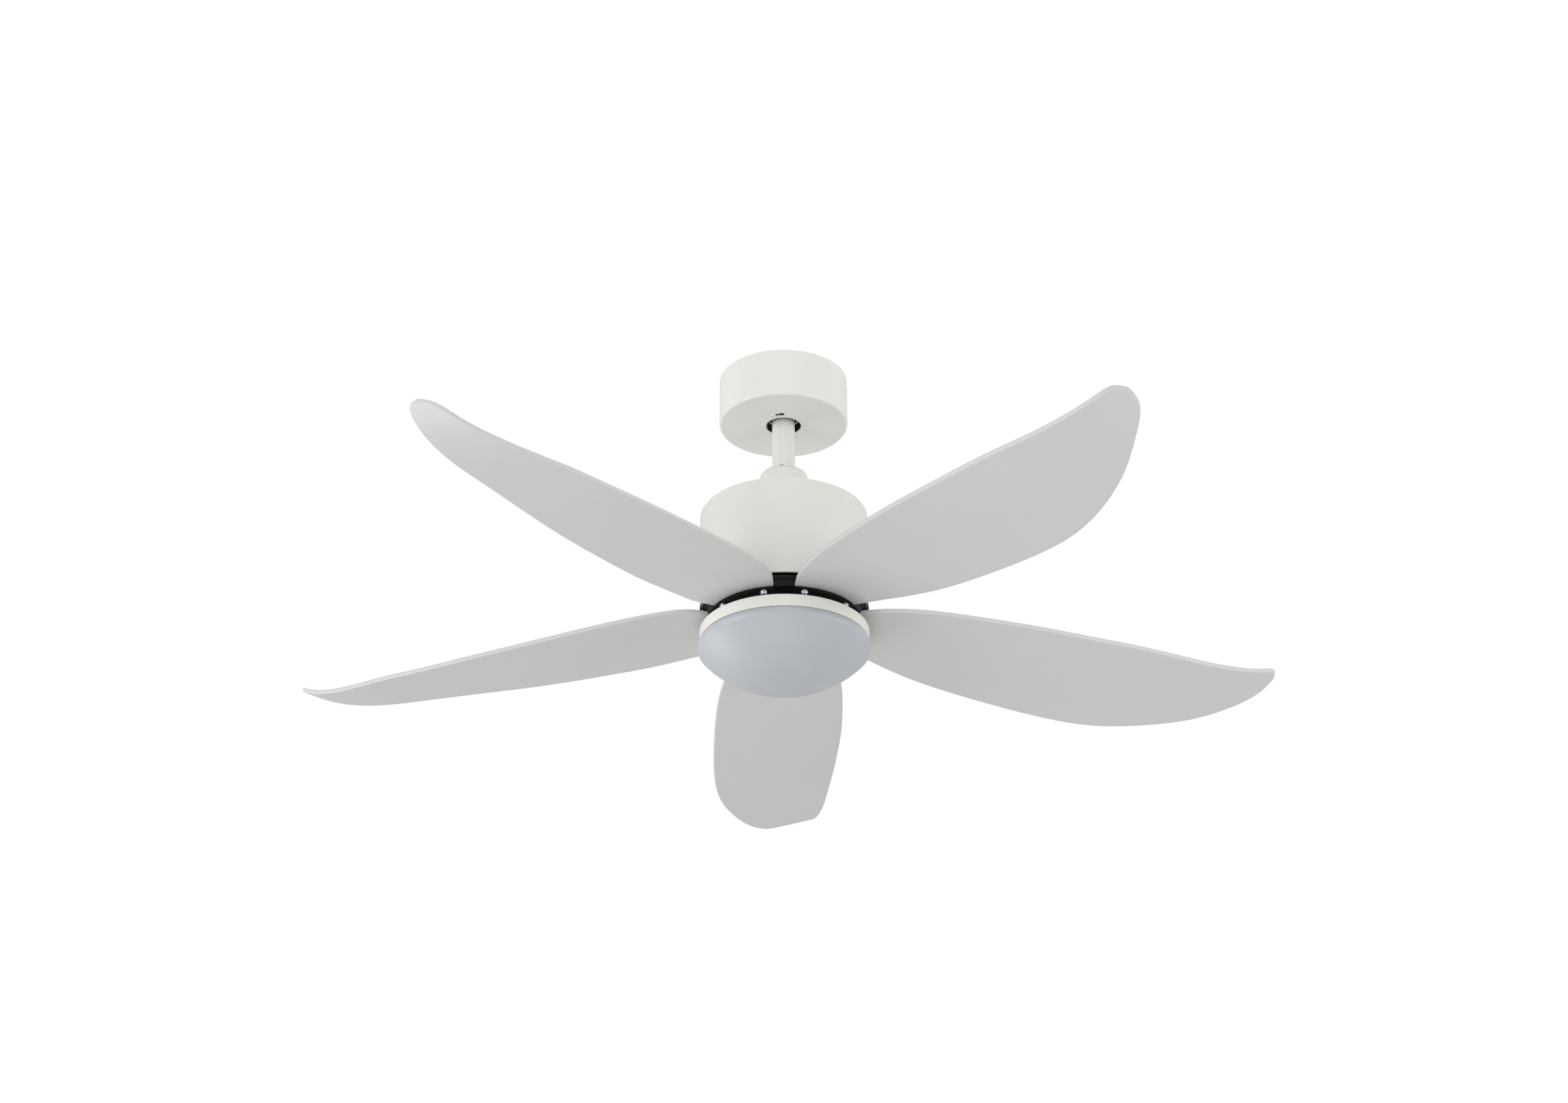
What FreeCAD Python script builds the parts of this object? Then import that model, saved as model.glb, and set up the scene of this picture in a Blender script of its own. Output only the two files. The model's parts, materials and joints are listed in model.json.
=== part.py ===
"""Five-blade ceiling fan with a light, hung from a ball on a short downrod.

Origin: the centre of the plane where the hanger plate and the canopy meet the
ceiling. +Z points up into the ceiling, so the whole fan lies below z = 0.
Each function makes one piece of the fan, or one group of like pieces.
"""
import FreeCAD, Part
import math
import os

V = FreeCAD.Vector
ORIGIN = V(0, 0, 0)
UP = V(0, 0, 1)

# ---- driving dimensions, mm and degrees -------------------------------------
blade_count = 5
sweep_radius = 610.0            # tip circle of a 48 inch fan
first_blade_angle = -54.0

# levels along the fan's axis
canopy_bottom = -60.0
cover_top = -125.0              # top of the cover over the rod's coupling
housing_top = -180.0
housing_bottom = -302.5
blade_underside = -316.0        # flat underside of a blade at its root
ring_top = -330.0               # top of the light's ring-shaped pan
ring_bottom = -345.0
lens_wide_level = -351.3
lens_bottom = -399.5

# radii
canopy_radius = 75.5
canopy_hole_radius = 20.5
rod_radius = 13.35              # 3/4 inch pipe
rod_bore_radius = 11.3
cover_radius = 28.0
housing_radius = 97.0
ring_radius = 97.0
lens_radius = 99.0
sheet = 1.2                     # pressed steel sheet

# hanger ball and the liner it turns in
ball_level = -34.0
ball_radius = 23.0
liner_radius = 25.0
running_gap = 0.05
seat_low_angle = 50.0           # the seat's zone, measured from straight down
seat_high_angle = 80.0
bracket_angle = -114.0          # direction of one leg of the hanger
slot_spacing = 88.9
slot_width = 5.0
slot_length = 18.0
canopy_screw_radius = 28.0      # circle of the two screws that hold the canopy

# downrod and the coupling at its lower end
rod_top = -20.0
rod_bottom = -166.0
rod_hole_level = -122.5
ball_pin_level = -30.0
ball_pin_radius = 3.2
coupling_radius = 16.6
coupling_pin_level = -150.0
coupling_pin_radius = 3.0
coupling_pin_half = 19.0
clip_offset = 17.6              # where the spring clip crosses the coupling's pin
set_screw_level = -159.0
coupling_screw_radius = 21.3    # three screws hold the housing to the coupling's flange
coupling_screw_angles = (30, 150, 270)
flange_top = -175.0

# motor
shaft_radius = 7.5
shaft_bore_radius = 5.0
bearing_radius = 17.5
bearing_width = 11.0
lower_bearing_level = -302.0    # underside of the lower bearing
upper_bearing_level = -254.0    # underside of the upper bearing
rotor_disc_radius = 92.3
rotor_can_radius = 84.0
rotor_wall = 3.5
rotor_disc_bottom = -307.5
rotor_disc_top = -304.0
rotor_can_top = -240.0
core_bottom = -286.0
core_top = -266.0
tooth_count = 12
tooth_width = 9.0
magnet_count = 14
ball_circle = 12.5              # radius of the circle of bearing balls
cover_screw_radius = 82.2       # screws that close the rotor's two covers

# boards and the posts that carry them
motor_board_level = -222.0
motor_post_radius = 60.0
motor_post_angles = (0, 120, 240)
led_board_level = -342.5
led_post_radius = 66.0
led_post_angles = (60, 180, 300)
board_thickness = 1.6
post_radius = 3.0

# blades and their holders
blade_thickness = 5.5
root_radius = 87.0              # the blade's inner edge is an arc about the fan's axis
holder_inner_radius = 62.0
holder_half_angle = 27.8
tongue_radius = 112.0
tongue_half_angle = 22.0
holder_screw_radius = 82.5
holder_screw_offset = 20.0      # degrees either side of the blade's centre line
holder_seat = blade_underside - 1.5
spring_washer = 1.7
flat_washer = 1.1
tongue_bottom = blade_underside + blade_thickness + 0.25
blade_screw_places = [(102.0, -22.0), (104.0, 0.0), (102.0, 22.0)]
blade_angles = [first_blade_angle + i * 360.0 / blade_count for i in range(blade_count)]
cover_screw_angles = [a + 180.0 / blade_count for a in blade_angles]
holder_screw_angles = [a + s * holder_screw_offset for a in blade_angles for s in (-1, 1)]


# ---- helpers ----------------------------------------------------------------
def disc(radius, low, high, x=0.0, y=0.0):
    return Part.makeCylinder(radius, high - low, V(x, y, low))


def ring(outer, inner, low, high, x=0.0, y=0.0):
    return disc(outer, low, high, x, y).cut(disc(inner, low - 1, high + 1, x, y))


def ring_at(outer, inner, low, high, radius, angle):
    p = polar(radius, angle)
    return ring(outer, inner, low, high, p.x, p.y)


def block(x0, x1, y0, y1, z0, z1):
    return Part.makeBox(x1 - x0, y1 - y0, z1 - z0, V(x0, y0, z0))


def turned(shape, angle):
    """A copy of a shape turned about the fan's axis."""
    copy = shape.copy()
    copy.rotate(ORIGIN, UP, angle)
    return copy


def polar(radius, angle, level=0.0):
    a = math.radians(angle)
    return V(radius * math.cos(a), radius * math.sin(a), level)


def disc_at(disc_radius, low, high, radius, angle):
    p = polar(radius, angle)
    return disc(disc_radius, low, high, p.x, p.y)


def lathe(edges):
    """Solid of revolution about Z from closed profile edges in the XZ plane."""
    return Part.Face(Part.Wire(edges)).revolve(ORIGIN, UP, 360)


def line(a, b):
    return Part.makeLine(V(a[0], 0, a[1]), V(b[0], 0, b[1]))


def arc(a, middle, b):
    return Part.Arc(V(a[0], 0, a[1]), V(middle[0], 0, middle[1]), V(b[0], 0, b[1])).toShape()


def on_circle(centre, radius, angle):
    """Point on a profile circle; the angle is measured up from the outward direction."""
    a = math.radians(angle)
    return (centre[0] + radius * math.cos(a), centre[1] + radius * math.sin(a))


def sector(outer, inner, half_angle, low, high, centre_angle=0.0):
    """Ring segment, half_angle either side of centre_angle."""
    a = math.radians(half_angle)

    def corner(radius, angle):
        return V(radius * math.cos(angle), radius * math.sin(angle), low)

    edges = [
        Part.Arc(corner(outer, -a), V(outer, 0, low), corner(outer, a)).toShape(),
        Part.makeLine(corner(outer, a), corner(inner, a)),
        Part.Arc(corner(inner, a), V(inner, 0, low), corner(inner, -a)).toShape(),
        Part.makeLine(corner(inner, -a), corner(outer, -a)),
    ]
    solid = Part.Face(Part.Wire(edges)).extrude(V(0, 0, high - low))
    return turned(solid, centre_angle)


def around(shape, count, start=0.0):
    """Equally spaced copies about the fan's axis."""
    return [turned(shape, start + i * 360.0 / count) for i in range(count)]


def fuse(shapes):
    solid = shapes[0]
    for other in shapes[1:]:
        solid = solid.fuse(other)
    return solid.removeSplitter()


def cut_all(solid, tools):
    for tool in tools:
        solid = solid.cut(tool)
    return solid


def screw(x, y, seat, length, shank, head, head_height, side=-1):
    """Pan-head screw with its head on the plane z = seat: below it, or above for side = 1."""
    low, high = sorted((seat, seat + side * head_height))
    cap = disc(head, low, high, x, y)
    rim = max(cap.Edges, key=lambda edge: edge.CenterOfMass.z * side)
    cap = cap.makeFillet(head_height * 0.45, [rim])
    low, high = sorted((seat, seat - side * length))
    return cap.fuse(disc(shank, low, high, x, y))


def screws_at(radius, angles, *sizes):
    """The same screw at several angles on one circle, as one compound."""
    points = [polar(radius, angle) for angle in angles]
    return Part.makeCompound([screw(p.x, p.y, *sizes) for p in points])


def write(name, shape):
    shape.exportStep(os.path.join("parts", name + ".step"))


# ---- fixed to the ceiling ---------------------------------------------------
def hanger_bracket():
    """Ceiling plate with two slots, two legs, and an open-sided ring that seats the ball."""
    plate_radius = 60.0
    plate_thickness = 2.5
    ring_outer = 31.0
    floor = canopy_bottom + sheet
    seat = liner_radius + running_gap
    seat_low = ball_level - seat * math.cos(math.radians(seat_low_angle))
    seat_high = ball_level - seat * math.cos(math.radians(seat_high_angle))
    throat = seat * math.sin(math.radians(seat_low_angle))
    socket = disc(ring_outer, floor, seat_high).fuse(disc(37.0, floor, floor + 2.5))
    socket = socket.cut(Part.makeSphere(seat, V(0, 0, ball_level)))
    flare = Part.makeCone(21.5, throat, seat_low + 0.01 - floor, V(0, 0, floor))
    socket = socket.cut(flare)
    mouth = block(-14.5, 14.5, 0, 45, floor - 1, seat_high + 1)
    mouth.rotate(ORIGIN, UP, bracket_angle - 180)
    socket = socket.cut(mouth)
    leg = block(ring_outer - 1.0, ring_outer + 2.5, -13, 13, floor, -plate_thickness)
    legs = [turned(leg, bracket_angle), turned(leg, bracket_angle + 180)]
    plate = disc(plate_radius, -plate_thickness, 0)
    plate = plate.cut(disc(14.0, -5, 1))
    for side in (-1, 1):
        half = (slot_length - slot_width) / 2
        x = side * slot_spacing / 2
        slot = block(x - half, x + half, -slot_width / 2, slot_width / 2, -5, 1)
        slot = slot.fuse(disc(slot_width / 2, -5, 1, x - half)).fuse(disc(slot_width / 2, -5, 1, x + half))
        plate = plate.cut(slot)
        thread = disc_at(1.9, floor - 1, floor + 10, canopy_screw_radius, bracket_angle + 90 + side * 90)
        socket = socket.cut(thread)
    return fuse([plate, socket] + legs)


def canopy():
    """Drawn steel cup with a rounded lower edge, a rod hole, two keyholes and two dimples."""
    bend = 2.8
    r, t = canopy_radius, sheet
    z = canopy_bottom
    c = (r - bend, z + bend)
    cup = lathe([
        line((canopy_hole_radius, z), (r - bend, z)),
        arc((r - bend, z), on_circle(c, bend, -45), (r, z + bend)),
        line((r, z + bend), (r, 0)),
        line((r, 0), (r - t, 0)),
        line((r - t, 0), (r - t, z + bend)),
        arc((r - t, z + bend), on_circle(c, bend - t, -45), (r - bend, z + t)),
        line((r - bend, z + t), (canopy_hole_radius, z + t)),
        line((canopy_hole_radius, z + t), (canopy_hole_radius, z)),
    ])
    slot_half = 2.2
    for side in (0, 180):
        narrow = bracket_angle + side
        wide = narrow + 20.0
        slot = sector(canopy_screw_radius + slot_half, canopy_screw_radius - slot_half, 10.0,
                      z - 1, z + t + 1, narrow + 10.0)
        cup = cup.cut(slot)
        cup = cup.cut(disc_at(slot_half, z - 1, z + t + 1, canopy_screw_radius, narrow))
        cup = cup.cut(disc_at(3.5, z - 1, z + t + 1, canopy_screw_radius, wide))
        dimple = Part.makeSphere(4.0, polar(30.0, wide + 128.0, z + 3.2))
        dimple = dimple.common(disc(60.0, z - 1.0, z + 0.2))
        cup = cup.fuse(dimple)
    return cup.removeSplitter()


def canopy_screws():
    angles = (bracket_angle, bracket_angle + 180)
    return screws_at(canopy_screw_radius, angles, canopy_bottom, 10.0, 1.85, 3.1, 1.8)


def terminal_block():
    """Three-way screw terminal under the ceiling plate, where the house wires end."""
    body = block(-16, 16, 36, 52, -17.5, -2.5)
    wells = [disc(2.6, -18, -9, x, 44) for x in (-10, 0, 10)]
    entries = []
    for x in (-10, 0, 10):
        entries.append(Part.makeCylinder(1.8, 18, V(x, 35, -7.0), V(0, 1, 0)))
    return cut_all(body, wells + entries)


# ---- ball seat --------------------------------------------------------------
def seat_liner():
    """Nylon liner, a zone of a sphere between the ball and the hanger's ring."""
    outer, inner = liner_radius, ball_radius + running_gap
    c = (0.0, ball_level)
    low, high = seat_low_angle - 90, seat_high_angle - 90
    middle = (low + high) / 2
    return lathe([
        arc(on_circle(c, outer, low), on_circle(c, outer, middle), on_circle(c, outer, high)),
        line(on_circle(c, outer, high), on_circle(c, inner, high)),
        arc(on_circle(c, inner, high), on_circle(c, inner, middle), on_circle(c, inner, low)),
        line(on_circle(c, inner, low), on_circle(c, outer, low)),
    ])


# ---- hanging on the ball ----------------------------------------------------
def cross_bore(radius, level, angle=0.0):
    bore = Part.makeCylinder(radius, 120, V(-60, 0, level), V(1, 0, 0))
    return turned(bore, angle)


def hanger_ball():
    ball = Part.makeSphere(ball_radius, V(0, 0, ball_level))
    ball = ball.common(disc(40, ball_level - 19.0, rod_top + 1.0))
    ball = ball.cut(disc(rod_radius, -100, 0))
    return ball.cut(cross_bore(ball_pin_radius, ball_pin_level))


def ball_pin():
    half = 17.5
    return Part.makeCylinder(ball_pin_radius, 2 * half, V(-half, 0, ball_pin_level), V(1, 0, 0))


def downrod():
    rod = ring(rod_radius, rod_bore_radius, rod_bottom, rod_top)
    bores = [
        cross_bore(ball_pin_radius, ball_pin_level),
        cross_bore(4.0, rod_hole_level, 80.0),
        cross_bore(coupling_pin_radius, coupling_pin_level),
    ]
    return cut_all(rod, bores)


def coupling():
    """Cast socket on the motor shaft: the rod drops in and a cross pin holds it."""
    body = disc(coupling_radius, housing_top, cover_top - 10.0)
    body = body.fuse(disc(26.0, housing_top, flange_top))
    body = body.cut(disc(rod_radius, rod_bottom, 0))
    body = body.cut(disc(shaft_radius, housing_top - 1, rod_bottom + 1))
    body = body.cut(cross_bore(coupling_pin_radius, coupling_pin_level))
    body = body.cut(cross_bore(2.5, set_screw_level, 90.0))
    low, high = housing_top - 1, flange_top + 1
    return cut_all(body, [disc_at(2.2, low, high, coupling_screw_radius, a) for a in coupling_screw_angles])


def coupling_pin():
    half = coupling_pin_half
    pin = Part.makeCylinder(coupling_pin_radius, half * 2, V(-half, 0, coupling_pin_level), V(1, 0, 0))
    head = Part.makeCylinder(4.5, 1.5, V(-half - 1.5, 0, coupling_pin_level), V(1, 0, 0))
    clip_hole = Part.makeCylinder(0.9, 12, V(clip_offset, -6, coupling_pin_level), V(0, 1, 0))
    return pin.fuse(head).cut(clip_hole)


def pin_clip():
    """Spring clip: a wire through the pin's end with a loop beside it."""
    wire = Part.makeCylinder(0.8, 16, V(clip_offset, -6, coupling_pin_level), V(0, 1, 0))
    loop = Part.makeTorus(3.0, 0.8, V(clip_offset, -8.6, coupling_pin_level), V(1, 0, 0))
    return wire.fuse(loop)


def set_screws():
    screws = []
    for side in (-1, 1):
        body = Part.makeCylinder(2.45, 6.5, V(0, side * rod_radius, set_screw_level), V(0, side, 0))
        socket = Part.makeCylinder(1.3, 3.0, V(0, side * (rod_radius + 4), set_screw_level), V(0, side, 0))
        screws.append(body.cut(socket))
    return Part.makeCompound(screws)


def coupling_cover():
    """Pressed cup with rounded shoulder that hides the coupling and the pin."""
    bend = 7.0
    t = 1.5
    r = cover_radius
    hole = rod_radius + 0.5
    c = (r - bend, cover_top - bend)
    return lathe([
        line((r, housing_top), (r, c[1])),
        arc((r, c[1]), on_circle(c, bend, 45), (c[0], cover_top)),
        line((c[0], cover_top), (hole, cover_top)),
        line((hole, cover_top), (hole, cover_top - t)),
        line((hole, cover_top - t), (c[0], cover_top - t)),
        arc((c[0], cover_top - t), on_circle(c, bend - t, 45), (r - t, c[1])),
        line((r - t, c[1]), (r - t, housing_top)),
        line((r - t, housing_top), (r, housing_top)),
    ])


def motor_housing():
    """Drawn steel can, open below; its lower edge folds inward and down again to a lip.

    From outside to inside the lower edge is the wall, a narrow groove and the lip.
    """
    bend = 5.0
    groove = 1.4
    lip = 1.1
    fold_level = housing_bottom + 4.0
    lip_bottom = housing_bottom + 0.5
    t = sheet
    r = housing_radius
    bore = shaft_radius + 0.2
    c = (r - bend, housing_top - bend)
    lip_outer = r - t - groove
    can = lathe([
        line((r, housing_bottom), (r, c[1])),
        arc((r, c[1]), on_circle(c, bend, 45), (c[0], housing_top)),
        line((c[0], housing_top), (bore, housing_top)),
        line((bore, housing_top), (bore, housing_top - t)),
        line((bore, housing_top - t), (c[0], housing_top - t)),
        arc((c[0], housing_top - t), on_circle(c, bend - t, 45), (r - t, c[1])),
        line((r - t, c[1]), (r - t, fold_level + t)),
        line((r - t, fold_level + t), (lip_outer - lip, fold_level + t)),
        line((lip_outer - lip, fold_level + t), (lip_outer - lip, lip_bottom)),
        line((lip_outer - lip, lip_bottom), (lip_outer, lip_bottom)),
        line((lip_outer, lip_bottom), (lip_outer, fold_level)),
        line((lip_outer, fold_level), (r - t, fold_level)),
        line((r - t, fold_level), (r - t, housing_bottom)),
        line((r - t, housing_bottom), (r, housing_bottom)),
    ])
    low, high = housing_top - 2, housing_top + 1
    holes = [disc_at(2.1, low, high, coupling_screw_radius, a) for a in coupling_screw_angles]
    holes += [disc_at(1.6, low, high, motor_post_radius, a) for a in motor_post_angles]
    return cut_all(can, holes)


def housing_screws():
    return screws_at(coupling_screw_radius, coupling_screw_angles, flange_top, 11.0, 2.0, 3.4, 2.2, 1)


def motor_shaft():
    """Fixed hollow shaft; the wires of the light run down its bore."""
    return ring(shaft_radius, shaft_bore_radius, ring_top - 7.0, rod_bottom)


def stator_sleeve():
    return ring(14.0, shaft_radius, core_bottom, core_top)


def stator_core():
    """Laminated core: a ring with teeth that end in wide pole faces."""
    yoke = ring(40.0, 14.0, core_bottom, core_top)
    tooth = block(38, 73, -tooth_width / 2, tooth_width / 2, core_bottom, core_top)
    pole = sector(75.5, 70.0, 12.5, core_bottom, core_top)
    return fuse([yoke] + around(tooth.fuse(pole), tooth_count))


def stator_windings():
    """One copper coil around each tooth."""
    gap = 0.3
    half = tooth_width / 2
    coil = block(44, 67, -half - 4.5, half + 4.5, core_bottom - 6, core_top + 6)
    coil = coil.makeFillet(2.0, [e for e in coil.Edges if abs(e.tangentAt(e.FirstParameter).x) > 0.9])
    slot = block(43, 68, -half - gap, half + gap, core_bottom - gap, core_top + gap)
    return Part.makeCompound(around(coil.cut(slot), tooth_count))


def motor_driver_board():
    """Ring-shaped control board above the motor, with its larger components."""
    top = motor_board_level + board_thickness
    board = ring(72.0, 22.0, motor_board_level, top)
    parts = [
        disc(8.0, top, top + 20, 45, 20),
        disc(5.0, top, top + 14, 45, -2),
        block(-60, -36, -10, 12, top, top + 16),
        block(-12, 12, 38, 58, top, top + 10),
        block(-10, 8, -62, -40, top, top + 7),
    ]
    holes = [disc_at(1.7, motor_board_level - 1, top + 1, motor_post_radius, a) for a in motor_post_angles]
    return cut_all(fuse([board] + parts), holes)


def board_spacers():
    """Three posts that hang the motor's board from the top of the housing."""
    low, high = motor_board_level + board_thickness, housing_top - sheet
    return Part.makeCompound([disc_at(post_radius, low, high, motor_post_radius, a) for a in motor_post_angles])


def board_screws():
    return screws_at(motor_post_radius, motor_post_angles, motor_board_level, board_thickness, 1.6, 3.0, 1.8)


def bearing_inner(level):
    ball_track = Part.makeTorus(ball_circle, 2.45, V(0, 0, level + bearing_width / 2))
    return ring(10.9, shaft_radius, level, level + bearing_width).cut(ball_track)


def light_spacer():
    """Sleeve on the shaft that sets the light's pan below the rotor."""
    return ring(11.5, shaft_radius, ring_top, lower_bearing_level)


def light_pan():
    """Pressed steel pan whose rim is the pale ring around the lens; three tabs hold the lens."""
    r, t = ring_radius, sheet
    top = disc(r, ring_top - t, ring_top).cut(disc(shaft_radius, ring_top - 5, ring_top + 5))
    rim = ring(r, r - t, ring_bottom, ring_top)
    tab = sector(r - t + 0.1, 94.0, 8.0, ring_bottom + 4.0, ring_bottom + 5.2)
    holes = [disc_at(1.6, ring_top - 3, ring_top + 1, led_post_radius, a) for a in led_post_angles]
    return cut_all(fuse([top, rim] + around(tab, 3)), holes)


def shaft_nut():
    nut = Part.Face(Part.makePolygon([polar(13.0, a, ring_top - sheet - 5.0) for a in range(0, 361, 60)]))
    nut = nut.extrude(V(0, 0, 5.0))
    return nut.cut(disc(shaft_radius, -400, 0))


def led_driver():
    """Flat driver for the lamp, fixed inside the pan beside the shaft."""
    body = block(22, 62, -24, 24, ring_top - sheet - 8.6, ring_top - sheet)
    return body.makeFillet(1.2, [e for e in body.Edges if abs(e.tangentAt(e.FirstParameter).z) > 0.9])


def led_board():
    low, high = led_board_level, led_board_level + board_thickness
    holes = [disc_at(1.7, low - 1, high + 1, led_post_radius, a) for a in led_post_angles]
    return cut_all(ring(80.0, 4.0, low, high), holes)


def leds():
    """Surface-mounted lamps on three circles under the board."""
    chips = []
    for radius, count in ((24.0, 8), (46.0, 16), (72.0, 22)):
        chip = block(radius - 1.5, radius + 1.5, -1.75, 1.75, led_board_level - 0.8, led_board_level)
        chips += around(chip, count, 4.0)
    return Part.makeCompound(chips)


def led_board_posts():
    low, high = led_board_level + board_thickness, ring_top - sheet
    return Part.makeCompound([disc_at(post_radius, low, high, led_post_radius, a) for a in led_post_angles])


def led_board_screws():
    return screws_at(led_post_radius, led_post_angles, led_board_level, board_thickness, 1.6, 3.0, 1.6)


# ---- lens -------------------------------------------------------------------
def lens():
    """Opal dome: a shallow sphere with a rounded edge, and a rim with three bayonet lugs."""
    edge_radius = 8.0
    wall = 2.0
    depth = lens_wide_level - lens_bottom
    c = (lens_radius - edge_radius, lens_wide_level)
    sphere_radius = (c[0] ** 2 + depth ** 2 - edge_radius ** 2) / (2 * (depth - edge_radius))
    s = (0.0, lens_bottom + sphere_radius)
    join = math.degrees(math.atan2(c[1] - s[1], c[0]))
    rim_outer, rim_inner, rim_top = 93.0, 91.8, ring_bottom + 9.0
    top = ring_bottom - 0.3
    shoulder = (c[0] + math.sqrt(edge_radius ** 2 - (top - c[1]) ** 2), top)
    inner_start = (rim_inner, lens_wide_level + math.sqrt((edge_radius - wall) ** 2 - (c[0] - rim_inner) ** 2))

    def outer(angle, centre=c, radius=edge_radius):
        return on_circle(centre, radius, angle)

    shell = lathe([
        arc((0, lens_bottom), outer((join - 90) / 2, s, sphere_radius), outer(join)),
        arc(outer(join), outer(join / 2), outer(0)),
        arc(outer(0), outer(25), shoulder),
        line(shoulder, (rim_outer, top)),
        line((rim_outer, top), (rim_outer, rim_top)),
        line((rim_outer, rim_top), (rim_inner, rim_top)),
        line((rim_inner, rim_top), inner_start),
        arc(inner_start, outer(0, c, edge_radius - wall), outer(join, c, edge_radius - wall)),
        arc(outer(join, c, edge_radius - wall), outer((join - 90) / 2, s, sphere_radius - wall),
            (0, lens_bottom + wall)),
        line((0, lens_bottom + wall), (0, lens_bottom)),
    ])
    lug = sector(95.3, rim_outer - 0.1, 5.0, ring_bottom + 5.7, ring_bottom + 8.0)
    return fuse([shell] + around(lug, 3))


# ---- turning on the bearings ------------------------------------------------
def bearing_outer(level):
    ball_track = Part.makeTorus(ball_circle, 2.45, V(0, 0, level + bearing_width / 2))
    return ring(bearing_radius, 14.1, level, level + bearing_width).cut(ball_track)


def bearing_balls():
    balls = []
    for level in (lower_bearing_level, upper_bearing_level):
        ball = Part.makeSphere(2.38, V(ball_circle, 0, level + bearing_width / 2))
        balls += around(ball, 10)
    return Part.makeCompound(balls)


def rotor_lower_cover():
    """Black casting seen between the blades: a disc with a bearing boss and five skirts.

    Each skirt fills the gap between two blade roots: it narrows downward like a cone,
    with a ridge round its top edge, and it is hollow behind.
    """
    skirt_bottom = blade_underside + 0.6
    skirt_half_angle = 7.3
    plate = disc(rotor_disc_radius, rotor_disc_bottom, rotor_disc_top)
    boss = disc(21.5, rotor_disc_bottom, lower_bearing_level + bearing_width)
    cone = Part.makeCone(87.5, 91.0, rotor_disc_bottom - skirt_bottom, V(0, 0, skirt_bottom))
    cone = cone.cut(disc(83.0, blade_underside, rotor_disc_bottom + 1))
    ridge = ring(rotor_disc_radius, 86.0, rotor_disc_bottom - 1.2, rotor_disc_bottom)
    wedge = sector(120, 20, skirt_half_angle, blade_underside, rotor_disc_bottom)
    skirts = around(cone.fuse(ridge).common(wedge), blade_count, cover_screw_angles[0])
    body = fuse([plate, boss] + skirts)
    body = body.cut(disc(bearing_radius, lower_bearing_level, -200)).cut(disc(14.0, -320, -200))
    low, high = rotor_disc_bottom, rotor_disc_top
    holes = [disc_at(1.9, low - 1, high + 1, cover_screw_radius, a) for a in cover_screw_angles]
    holes += [disc_at(1.9, low - 1, high + 1, holder_screw_radius, a) for a in holder_screw_angles]
    return cut_all(body, holes)


def rotor_upper_cover():
    """Black can over the stator, with the upper bearing's boss."""
    can = disc(rotor_can_radius, rotor_disc_top, rotor_can_top)
    can = can.cut(disc(rotor_can_radius - rotor_wall, rotor_disc_top - 1, rotor_can_top - 3.0))
    boss = disc(21.5, upper_bearing_level, rotor_can_top)
    body = fuse([can, boss])
    body = body.cut(disc(bearing_radius, upper_bearing_level - 1, upper_bearing_level + bearing_width))
    body = body.cut(disc(12.0, -300, -200))
    low = rotor_disc_top
    return cut_all(body, [disc_at(1.45, low - 1, low + 9, cover_screw_radius, a) for a in cover_screw_angles])


def rotor_magnets():
    outer = rotor_can_radius - rotor_wall
    magnet = sector(outer, outer - 3.8, 11.0, core_bottom - 1, core_top + 1)
    return Part.makeCompound(around(magnet, magnet_count))


def rotor_screws():
    """Screws that close the two covers of the rotor, one between each pair of blades."""
    low, high = rotor_disc_bottom, rotor_disc_top + 8
    return Part.makeCompound([disc_at(1.4, low, high, cover_screw_radius, a) for a in cover_screw_angles])


def blade():
    """Moulded blade along +X: a twisted sheet trimmed to the outline seen from above.

    Each station gives the distance from the axis, the sheet's height over the root and
    its pitch. The sheet twists from flat at the root, sags a little along its length,
    and flicks up over the last tenth to the tip.
    """
    half_width = 104.0
    stations = (
        (70, 0, 0), (95, 0, 0), (112, -0.6, 1.0), (130, -1.8, 2.5), (180, -6.3, 5.3), (240, -11, 7.8),
        (300, -15, 9.9), (360, -18, 11.9), (420, -19.6, 13.6), (470, -20, 13.6), (515, -19.8, 13.6),
        (550, -16.5, 13.6), (580, -9.5, 13.6), (622, 10, 13.6),
    )
    sections = []
    for radius, height, pitch in stations:
        low_side, high_side = V(0, -half_width, 0), V(0, half_width, 0)
        lift = V(0, 0, blade_thickness)
        wire = Part.makePolygon([low_side, high_side, high_side + lift, low_side + lift, low_side])
        wire.rotate(ORIGIN, V(1, 0, 0), -pitch)
        wire.translate(V(radius, 0, blade_underside + height))
        sections.append(wire)
    slab = Part.makeLoft(sections, True, False)

    # outline, counter-clockwise: trailing edge is +Y, leading edge is -Y
    corner = 41.0
    root_x = math.sqrt(root_radius ** 2 - corner ** 2)
    outline = [
        (root_x, -corner), (88, -47.5), (102, -54), (115.5, -57.8), (129, -60.8), (180, -68),
        (237, -70), (300, -69.5), (360, -66), (420, -61), (480, -54.5), (540, -47), (584, -38),
        (602, -29.5), (609, -14), (604, 3),
        (580, 21.5), (540, 43), (500, 60.5), (460, 74), (414, 83.5), (355, 88), (296, 87), (237, 84),
        (180, 78), (130, 66.5), (114.5, 61.5), (101, 56), (87.5, 48.2), (root_x, corner),
    ]
    edge = Part.BSplineCurve()
    edge.interpolate([V(x, y, -380) for x, y in outline])
    root = Part.Arc(V(root_x, corner, -380), V(root_radius, 0, -380), V(root_x, -corner, -380)).toShape()
    prism = Part.Face(Part.Wire([edge.toShape(), root])).extrude(V(0, 0, 120))
    solid = slab.common(prism)
    return cut_all(solid, [disc(1.9, blade_underside + 2.0, -300, x, y) for x, y in blade_screw_places])


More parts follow.
